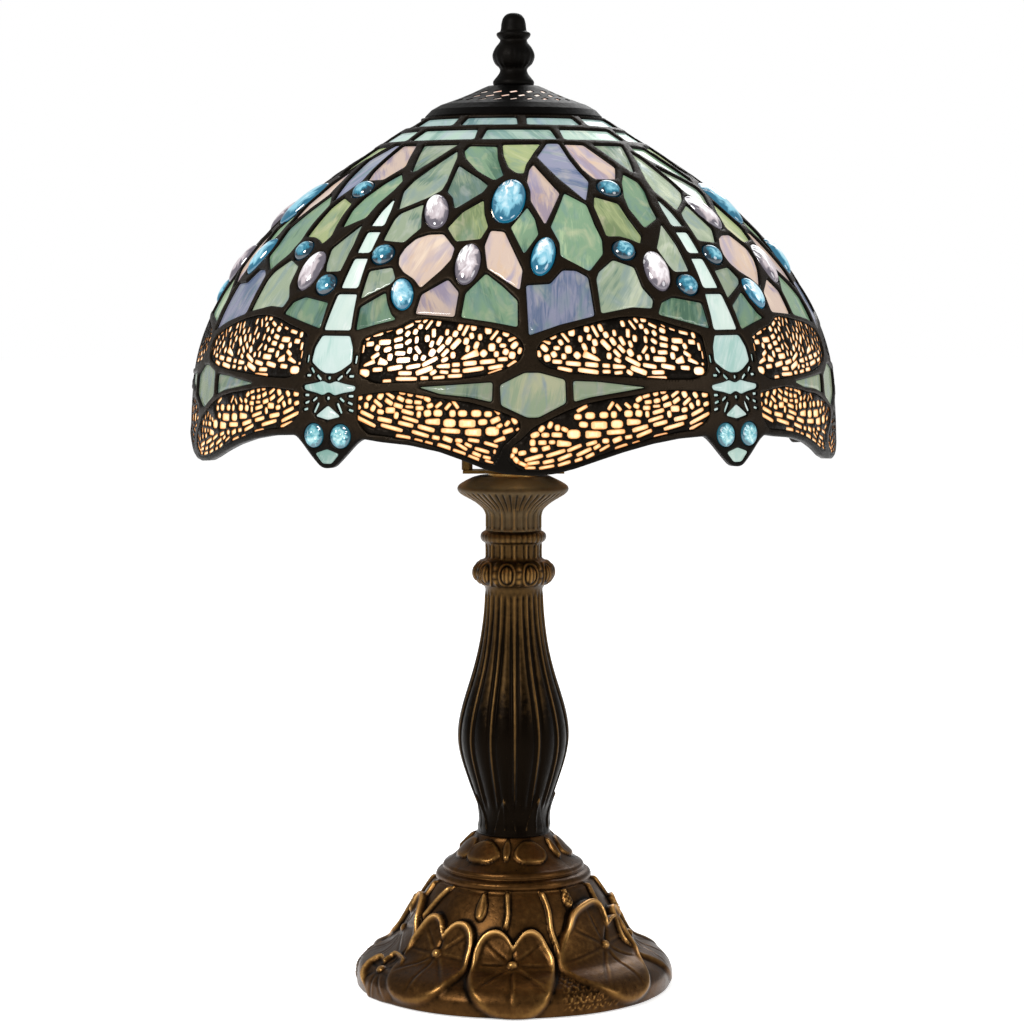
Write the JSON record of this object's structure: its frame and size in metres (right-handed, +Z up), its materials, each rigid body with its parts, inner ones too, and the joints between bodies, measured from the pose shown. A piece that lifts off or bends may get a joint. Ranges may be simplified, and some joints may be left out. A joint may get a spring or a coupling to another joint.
{
  "type": "stained glass table lamp",
  "caption": "Table lamp: domed leaded-glass shade with dragonflies and cabochons, vented cap and finial, on a fluted cast pedestal with a relief foot.",
  "frame": {"origin": "centre of the resting face under the foot", "axes": "+Z up along the lamp's axis; -Y is the front seen in the picture; +X to the right"},
  "size_m": [0.3045, 0.3056, 0.461],
  "materials": {
    "bronze": "antique bronze, rubbed gold on the high spots",
    "iron": "rough cast",
    "felt": "green baize",
    "zinc_steel": "zinc plated",
    "black_plastic": "moulded phenolic",
    "brass": "satin",
    "liner_board": "pressed fibre",
    "bulb_glass": "frosted",
    "bulb_metal": "plain",
    "filament": "glowing rods",
    "black_iron": "blackened, satin",
    "dark_solder": "dark patinated solder",
    "filigree_brass": "dark patina",
    "glass_aqua": "streaky opalescent",
    "glass_pale_mint": "streaky opalescent",
    "glass_sage": "streaky opalescent",
    "glass_jade": "streaky opalescent",
    "glass_yellow_green": "streaky opalescent",
    "glass_peach": "streaky opalescent",
    "glass_lilac": "streaky opalescent",
    "glass_olive": "streaky opalescent",
    "glass_white_mint": "opalescent",
    "glass_cream": "opalescent",
    "glass_amber": "opalescent",
    "jewel_blue": "pressed jewel",
    "jewel_pale_blue": "pressed jewel",
    "jewel_clear": "pressed jewel"
  },
  "bodies": {
    "base": {"foot_casting": "bronze", "column_casting": "bronze", "top_dish": "bronze", "ballast_weight": "iron", "felt_pad": "felt", "threaded_tube": "zinc_steel", "tube_nuts": "zinc_steel", "lock_washer": "zinc_steel", "cord_bush": "black_plastic", "check_ring": "brass", "harp_saddle": "brass", "harp_bow": "brass", "shade_stud": "brass", "shade_rest": "brass", "socket_cap": "brass", "socket_shell": "brass", "socket_liner": "liner_board", "socket_core": "black_plastic", "screw_shell": "brass", "centre_contact": "brass"},
    "sleeve_left": {"harp_sleeve_left": "brass"},
    "sleeve_right": {"harp_sleeve_right": "brass"},
    "switch": {"switch_stem": "zinc_steel", "switch_knob": "black_plastic"},
    "bulb": {"bulb_glass": "bulb_glass", "bulb_cap": "bulb_metal", "bulb_insulator": "black_plastic", "bulb_tip": "bulb_metal", "bulb_filament": "filament"},
    "shade": {"vented_cap": "black_iron", "cap_ring": "brass", "lead_lattice": "dark_solder", "crown_panes_upper": "glass_aqua", "crown_panes_lower": "glass_pale_mint", "leaf_panes_sage": "glass_sage", "leaf_panes_jade": "glass_jade", "leaf_panes_yellow_green": "glass_yellow_green", "leaf_panes_peach": "glass_peach", "leaf_panes_lilac": "glass_lilac", "gap_panes": "glass_olive", "tail_panes": "glass_white_mint", "thorax_panes": "glass_white_mint", "head_panes": "glass_white_mint", "eye_jewels": "jewel_blue", "cabochons_small_blue": "jewel_blue", "cabochons_large_blue": "jewel_pale_blue", "cabochons_clear": "jewel_clear", "upper_wing_glass": "glass_cream", "lower_wing_glass": "glass_amber", "upper_wing_filigree": "filigree_brass", "lower_wing_filigree": "filigree_brass"},
    "finial": {"finial": "black_iron"}
  },
  "joints": [
    {"name": "harp_sleeve_left_lift", "type": "slide", "parent": "base", "child": "sleeve_left", "axis": [0, 0, 1], "range_m": [0, 0.01]},
    {"name": "harp_sleeve_right_lift", "type": "slide", "parent": "base", "child": "sleeve_right", "axis": [0, 0, 1], "range_m": [0, 0.01]},
    {"name": "switch_turn", "type": "hinge", "parent": "base", "child": "switch", "pos_m": [0, 0.02, 0.27], "axis": [0, 1, 0], "continuous": true},
    {"name": "bulb_screw", "type": "hinge", "parent": "base", "child": "bulb", "pos_m": [0, 0, 0.295], "axis": [0, 0, 1], "continuous": true},
    {"name": "shade_swivel", "type": "hinge", "parent": "base", "child": "shade", "pos_m": [0, 0, 0.426], "axis": [0, 0, 1], "continuous": true},
    {"name": "finial_screw", "type": "hinge", "parent": "base", "child": "finial", "pos_m": [0, 0, 0.43], "axis": [0, 0, 1], "continuous": true}
  ]
}
